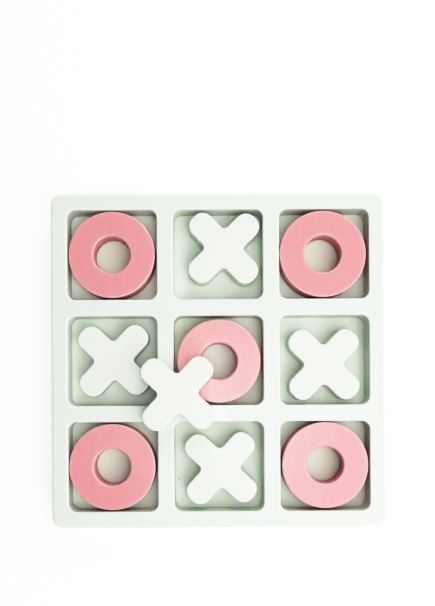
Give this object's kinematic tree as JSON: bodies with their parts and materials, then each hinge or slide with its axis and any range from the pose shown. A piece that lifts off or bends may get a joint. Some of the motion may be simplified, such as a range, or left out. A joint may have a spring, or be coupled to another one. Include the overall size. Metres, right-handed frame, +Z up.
{
  "type": "tic tac toe set",
  "caption": "Square painted wooden tray with a three by three grid of rounded cells, holding loose ring noughts and crosses, for the game of tic tac toe.",
  "frame": {"origin": "centre of the tray's underside", "axes": "+Z up out of the cells, +Y towards the top row, +X towards the right-hand column"},
  "size_m": [0.2, 0.2, 0.03],
  "materials": {
    "mint_paint": "matte paint",
    "pink_paint": "matte paint",
    "white_paint": "matte paint"
  },
  "bodies": {
    "tray": {"base_board": "mint_paint", "grid_frame": "mint_paint"},
    "nought_top_left": {"nought_top_left": "pink_paint"},
    "nought_top_right": {"nought_top_right": "pink_paint"},
    "nought_centre": {"nought_centre": "pink_paint"},
    "nought_bottom_left": {"nought_bottom_left": "pink_paint"},
    "nought_bottom_right": {"nought_bottom_right": "pink_paint"},
    "cross_top": {"cross_top": "white_paint"},
    "cross_left": {"cross_left": "white_paint"},
    "cross_right": {"cross_right": "white_paint"},
    "cross_bottom": {"cross_bottom": "white_paint"},
    "cross_loose": {"cross_loose": "white_paint"}
  },
  "joints": [
    {"name": "nought_top_left_lift", "type": "slide", "parent": "tray", "child": "nought_top_left", "axis": [0, 0, 1], "range_m": [0, 0.04]},
    {"name": "nought_top_right_lift", "type": "slide", "parent": "tray", "child": "nought_top_right", "axis": [0, 0, 1], "range_m": [0, 0.04]},
    {"name": "nought_centre_lift", "type": "slide", "parent": "tray", "child": "nought_centre", "axis": [0, 0, 1], "range_m": [0, 0.04]},
    {"name": "nought_bottom_left_lift", "type": "slide", "parent": "tray", "child": "nought_bottom_left", "axis": [0, 0, 1], "range_m": [0, 0.04]},
    {"name": "nought_bottom_right_lift", "type": "slide", "parent": "tray", "child": "nought_bottom_right", "axis": [0, 0, 1], "range_m": [0, 0.04]},
    {"name": "cross_top_lift", "type": "slide", "parent": "tray", "child": "cross_top", "axis": [0, 0, 1], "range_m": [0, 0.04]},
    {"name": "cross_left_lift", "type": "slide", "parent": "tray", "child": "cross_left", "axis": [0, 0, 1], "range_m": [0, 0.04]},
    {"name": "cross_right_lift", "type": "slide", "parent": "tray", "child": "cross_right", "axis": [0, 0, 1], "range_m": [0, 0.04]},
    {"name": "cross_bottom_lift", "type": "slide", "parent": "tray", "child": "cross_bottom", "axis": [0, 0, 1], "range_m": [0, 0.04]},
    {"name": "cross_loose_lift", "type": "slide", "parent": "tray", "child": "cross_loose", "axis": [0, 0, 1], "range_m": [0, 0.08]}
  ],
  "couplings": [
    {"joint": "nought_centre_lift", "follows": "cross_loose_lift", "ratio": 0.5},
    {"joint": "cross_left_lift", "follows": "cross_loose_lift", "ratio": 0.5}
  ]
}
